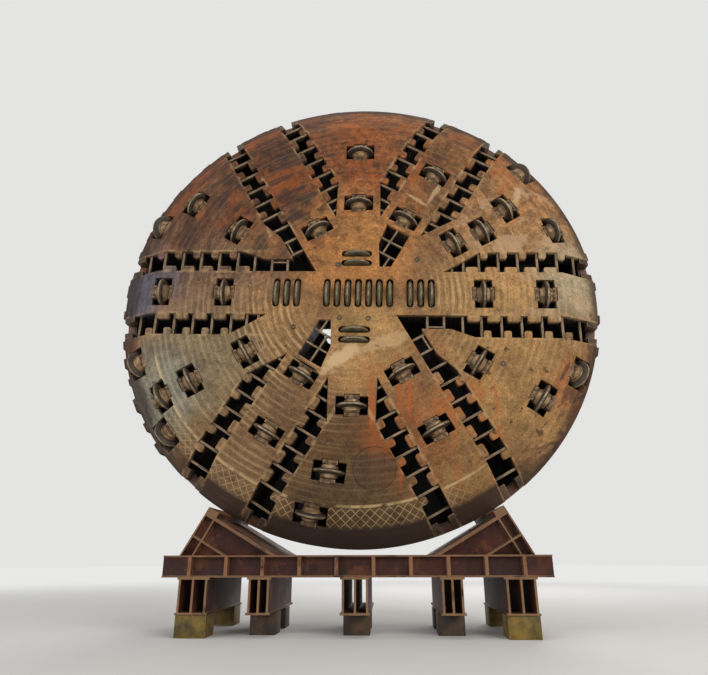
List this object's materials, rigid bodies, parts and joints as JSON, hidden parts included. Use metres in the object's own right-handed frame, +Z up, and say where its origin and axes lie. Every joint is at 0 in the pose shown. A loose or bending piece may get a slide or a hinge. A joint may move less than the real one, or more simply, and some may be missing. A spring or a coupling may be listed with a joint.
{
  "type": "tunnel boring machine cutterhead",
  "caption": "Round cutterhead of a tunnel boring machine, with disc cutters that turn on radial shafts in a slotted steel face, parked upright on a welded cradle.",
  "frame": {"origin": "middle of the base, on the floor under the head's axis", "axes": "+Z up; the face looks along -Y and the drive flange along +Y; X across the face"},
  "size_m": [8, 2, 9.1],
  "materials": {
    "face_steel": "rusted and scoured weldments, tan to orange",
    "shaft_steel": "grimy machined steel",
    "tool_steel": "dark wear steel",
    "cutter_steel": "worn tool steel with mud",
    "cradle_steel": "red oxide paint gone to rust",
    "packing_yellow": "worn yellow paint",
    "packing_dark": "dark dusty steel"
  },
  "bodies": {
    "head_on_cradle": {"centre_block": "face_steel", "level_arms": "face_steel", "open_arms": "face_steel", "long_arms": "face_steel", "upright_panels": "face_steel", "joined_panels": "face_steel", "nosed_panels": "face_steel", "rim_hoop": "face_steel", "rear_plate": "face_steel", "rear_ribs": "face_steel", "drive_flange": "face_steel", "cutter_saddles": "shaft_steel", "slot_scrapers": "tool_steel", "gauge_buckets": "tool_steel", "grizzly_bars": "tool_steel", "grid_bars": "tool_steel", "cross_beams": "cradle_steel", "long_beams": "cradle_steel", "saddles": "cradle_steel", "outer_packing": "packing_yellow", "inner_packing": "packing_dark"},
    "disc_cutter_1": {"disc_cutter_1": "cutter_steel"},
    "disc_cutter_2": {"disc_cutter_2": "cutter_steel"},
    "disc_cutter_3": {"disc_cutter_3": "cutter_steel"},
    "disc_cutter_4": {"disc_cutter_4": "cutter_steel"},
    "disc_cutter_5": {"disc_cutter_5": "cutter_steel"},
    "disc_cutter_6": {"disc_cutter_6": "cutter_steel"},
    "disc_cutter_7": {"disc_cutter_7": "cutter_steel"},
    "disc_cutter_8": {"disc_cutter_8": "cutter_steel"},
    "disc_cutter_9": {"disc_cutter_9": "cutter_steel"},
    "disc_cutter_10": {"disc_cutter_10": "cutter_steel"},
    "disc_cutter_11": {"disc_cutter_11": "cutter_steel"},
    "disc_cutter_12": {"disc_cutter_12": "cutter_steel"},
    "disc_cutter_13": {"disc_cutter_13": "cutter_steel"},
    "disc_cutter_14": {"disc_cutter_14": "cutter_steel"},
    "disc_cutter_15": {"disc_cutter_15": "cutter_steel"},
    "disc_cutter_16": {"disc_cutter_16": "cutter_steel"},
    "disc_cutter_17": {"disc_cutter_17": "cutter_steel"},
    "disc_cutter_18": {"disc_cutter_18": "cutter_steel"},
    "disc_cutter_19": {"disc_cutter_19": "cutter_steel"},
    "disc_cutter_20": {"disc_cutter_20": "cutter_steel"},
    "disc_cutter_21": {"disc_cutter_21": "cutter_steel"},
    "disc_cutter_22": {"disc_cutter_22": "cutter_steel"},
    "disc_cutter_23": {"disc_cutter_23": "cutter_steel"},
    "disc_cutter_24": {"disc_cutter_24": "cutter_steel"},
    "disc_cutter_25": {"disc_cutter_25": "cutter_steel"},
    "disc_cutter_26": {"disc_cutter_26": "cutter_steel"},
    "disc_cutter_27": {"disc_cutter_27": "cutter_steel"},
    "disc_cutter_28": {"disc_cutter_28": "cutter_steel"},
    "disc_cutter_29": {"disc_cutter_29": "cutter_steel"},
    "disc_cutter_30": {"disc_cutter_30": "cutter_steel"},
    "disc_cutter_31": {"disc_cutter_31": "cutter_steel"},
    "disc_cutter_32": {"disc_cutter_32": "cutter_steel"},
    "centre_cutter_1": {"centre_cutter_1": "cutter_steel"},
    "centre_cutter_2": {"centre_cutter_2": "cutter_steel"},
    "centre_cutter_3": {"centre_cutter_3": "cutter_steel"},
    "centre_cutter_4": {"centre_cutter_4": "cutter_steel"},
    "centre_cutter_5": {"centre_cutter_5": "cutter_steel"},
    "centre_cutter_6": {"centre_cutter_6": "cutter_steel"},
    "centre_cutter_7": {"centre_cutter_7": "cutter_steel"}
  },
  "joints": [
    {"name": "disc_cutter_1_spin", "type": "hinge", "parent": "head_on_cradle", "child": "disc_cutter_1", "pos_m": [0.06057, -0.484, 6.83434], "axis": [0.0349, 0, 0.9994], "continuous": true},
    {"name": "disc_cutter_2_spin", "type": "hinge", "parent": "head_on_cradle", "child": "disc_cutter_2", "pos_m": [0.09804, -0.484, 7.90749], "axis": [0.0349, 0, 0.9994], "continuous": true},
    {"name": "disc_cutter_3_spin", "type": "hinge", "parent": "head_on_cradle", "child": "disc_cutter_3", "pos_m": [0.86864, -0.484, 6.49012], "axis": [0.5299, 0, 0.848], "continuous": true},
    {"name": "disc_cutter_4_spin", "type": "hinge", "parent": "head_on_cradle", "child": "disc_cutter_4", "pos_m": [1.417, -0.484, 7.36768], "axis": [0.5299, 0, 0.848], "continuous": true},
    {"name": "disc_cutter_5_spin", "type": "hinge", "parent": "head_on_cradle", "child": "disc_cutter_5", "pos_m": [-0.66214, -0.484, 6.34531], "axis": [-0.4695, 0, 0.8829], "continuous": true},
    {"name": "disc_cutter_6_spin", "type": "hinge", "parent": "head_on_cradle", "child": "disc_cutter_6", "pos_m": [1.66542, -0.484, 5.98552], "axis": [0.8829, 0, 0.4695], "continuous": true},
    {"name": "disc_cutter_7_spin", "type": "hinge", "parent": "head_on_cradle", "child": "disc_cutter_7", "pos_m": [2.16016, -0.484, 6.20066], "axis": [0.891, 0, 0.454], "continuous": true},
    {"name": "disc_cutter_8_spin", "type": "hinge", "parent": "head_on_cradle", "child": "disc_cutter_8", "pos_m": [2.58403, -0.484, 6.62211], "axis": [0.8616, 0, 0.5075], "continuous": true},
    {"name": "disc_cutter_9_spin", "type": "hinge", "parent": "head_on_cradle", "child": "disc_cutter_9", "pos_m": [3.35019, -0.4216, 6.20148], "axis": [0.9218, 0.2419, 0.3031], "continuous": true},
    {"name": "disc_cutter_10_spin", "type": "hinge", "parent": "head_on_cradle", "child": "disc_cutter_10", "pos_m": [2.09812, -0.484, 5.02673], "axis": [0.9994, 0, -0.0349], "continuous": true},
    {"name": "disc_cutter_11_spin", "type": "hinge", "parent": "head_on_cradle", "child": "disc_cutter_11", "pos_m": [3.10371, -0.484, 4.99162], "axis": [0.9994, 0, -0.0349], "continuous": true},
    {"name": "disc_cutter_12_spin", "type": "hinge", "parent": "head_on_cradle", "child": "disc_cutter_12", "pos_m": [1.93734, -0.484, 3.85147], "axis": [0.8406, 0, -0.5417], "continuous": true},
    {"name": "disc_cutter_13_spin", "type": "hinge", "parent": "head_on_cradle", "child": "disc_cutter_13", "pos_m": [2.85626, -0.484, 3.26632], "axis": [0.8415, 0, -0.5402], "continuous": true},
    {"name": "disc_cutter_14_spin", "type": "hinge", "parent": "head_on_cradle", "child": "disc_cutter_14", "pos_m": [0.72806, -0.484, 3.73073], "axis": [0.4695, 0, -0.8829], "continuous": true},
    {"name": "disc_cutter_15_spin", "type": "hinge", "parent": "head_on_cradle", "child": "disc_cutter_15", "pos_m": [1.21631, -0.484, 2.81246], "axis": [0.4695, 0, -0.8829], "continuous": true},
    {"name": "disc_cutter_16_spin", "type": "hinge", "parent": "head_on_cradle", "child": "disc_cutter_16", "pos_m": [-0.06664, -0.484, 3.19156], "axis": [-0.0349, 0, -0.9994], "continuous": true},
    {"name": "disc_cutter_17_spin", "type": "hinge", "parent": "head_on_cradle", "child": "disc_cutter_17", "pos_m": [-0.40906, -0.484, 2.1894], "axis": [-0.1392, 0, -0.9903], "continuous": true},
    {"name": "disc_cutter_18_spin", "type": "hinge", "parent": "head_on_cradle", "child": "disc_cutter_18", "pos_m": [-0.68134, -0.39874, 1.59479], "axis": [-0.1851, 0.2419, -0.9525], "continuous": true},
    {"name": "disc_cutter_19_spin", "type": "hinge", "parent": "head_on_cradle", "child": "disc_cutter_19", "pos_m": [-0.86864, -0.484, 3.70988], "axis": [-0.5299, 0, -0.848], "continuous": true},
    {"name": "disc_cutter_20_spin", "type": "hinge", "parent": "head_on_cradle", "child": "disc_cutter_20", "pos_m": [-1.37989, -0.484, 2.80348], "axis": [-0.515, 0, -0.8572], "continuous": true},
    {"name": "disc_cutter_21_spin", "type": "hinge", "parent": "head_on_cradle", "child": "disc_cutter_21", "pos_m": [-1.79297, -0.484, 4.10614], "axis": [-0.8746, 0, -0.4848], "continuous": true},
    {"name": "disc_cutter_22_spin", "type": "hinge", "parent": "head_on_cradle", "child": "disc_cutter_22", "pos_m": [-2.65083, -0.484, 3.64269], "axis": [-0.8763, 0, -0.4818], "continuous": true},
    {"name": "disc_cutter_23_spin", "type": "hinge", "parent": "head_on_cradle", "child": "disc_cutter_23", "pos_m": [-3.09336, -0.4216, 3.40644], "axis": [-0.8511, 0.2419, -0.466], "continuous": true},
    {"name": "disc_cutter_24_spin", "type": "hinge", "parent": "head_on_cradle", "child": "disc_cutter_24", "pos_m": [-2.21765, -0.484, 5.17744], "axis": [-0.9994, 0, 0.0349], "continuous": true},
    {"name": "disc_cutter_25_spin", "type": "hinge", "parent": "head_on_cradle", "child": "disc_cutter_25", "pos_m": [-3.2778, -0.484, 5.21446], "axis": [-0.9994, 0, 0.0349], "continuous": true},
    {"name": "disc_cutter_26_spin", "type": "hinge", "parent": "head_on_cradle", "child": "disc_cutter_26", "pos_m": [-2.0428, -0.484, 6.36166], "axis": [-0.8508, 0, 0.5255], "continuous": true},
    {"name": "disc_cutter_27_spin", "type": "hinge", "parent": "head_on_cradle", "child": "disc_cutter_27", "pos_m": [-2.85626, -0.484, 6.93368], "axis": [-0.8415, 0, 0.5402], "continuous": true},
    {"name": "disc_cutter_28_spin", "type": "hinge", "parent": "head_on_cradle", "child": "disc_cutter_28", "pos_m": [3.47009, -0.30904, 3.69799], "axis": [0.7306, 0.6157, -0.2952], "continuous": true},
    {"name": "disc_cutter_29_spin", "type": "hinge", "parent": "head_on_cradle", "child": "disc_cutter_29", "pos_m": [-3.45466, -0.30366, 6.56642], "axis": [-0.7254, 0.6157, 0.3079], "continuous": true},
    {"name": "disc_cutter_30_spin", "type": "hinge", "parent": "head_on_cradle", "child": "disc_cutter_30", "pos_m": [2.929, -0.30904, 7.42983], "axis": [0.6167, 0.6157, 0.4905], "continuous": true},
    {"name": "disc_cutter_31_spin", "type": "hinge", "parent": "head_on_cradle", "child": "disc_cutter_31", "pos_m": [-3.58902, -0.30366, 4.00273], "axis": [-0.7536, 0.6157, -0.2304], "continuous": true},
    {"name": "disc_cutter_32_spin", "type": "hinge", "parent": "head_on_cradle", "child": "disc_cutter_32", "pos_m": [-2.9811, -0.30904, 2.83722], "axis": [-0.6277, 0.6157, -0.4764], "continuous": true},
    {"name": "centre_cutter_1_spin", "type": "hinge", "parent": "head_on_cradle", "child": "centre_cutter_1", "pos_m": [-1.1493, -0.438, 5.14013], "axis": [0.9994, 0, -0.0349], "continuous": true},
    {"name": "centre_cutter_2_spin", "type": "hinge", "parent": "head_on_cradle", "child": "centre_cutter_2", "pos_m": [-0.38976, -0.438, 5.11361], "axis": [0.9994, 0, -0.0349], "continuous": true},
    {"name": "centre_cutter_3_spin", "type": "hinge", "parent": "head_on_cradle", "child": "centre_cutter_3", "pos_m": [0.04497, -0.438, 5.09843], "axis": [0.9994, 0, -0.0349], "continuous": true},
    {"name": "centre_cutter_4_spin", "type": "hinge", "parent": "head_on_cradle", "child": "centre_cutter_4", "pos_m": [0.47971, -0.438, 5.08325], "axis": [0.9994, 0, -0.0349], "continuous": true},
    {"name": "centre_cutter_5_spin", "type": "hinge", "parent": "head_on_cradle", "child": "centre_cutter_5", "pos_m": [1.07435, -0.438, 5.06248], "axis": [0.9994, 0, -0.0349], "continuous": true},
    {"name": "centre_cutter_6_spin", "type": "hinge", "parent": "head_on_cradle", "child": "centre_cutter_6", "pos_m": [0.02234, -0.438, 5.73961], "axis": [0.0349, 0, 0.9994], "continuous": true},
    {"name": "centre_cutter_7_spin", "type": "hinge", "parent": "head_on_cradle", "child": "centre_cutter_7", "pos_m": [-0.02583, -0.438, 4.36045], "axis": [0.0349, 0, 0.9994], "continuous": true}
  ]
}
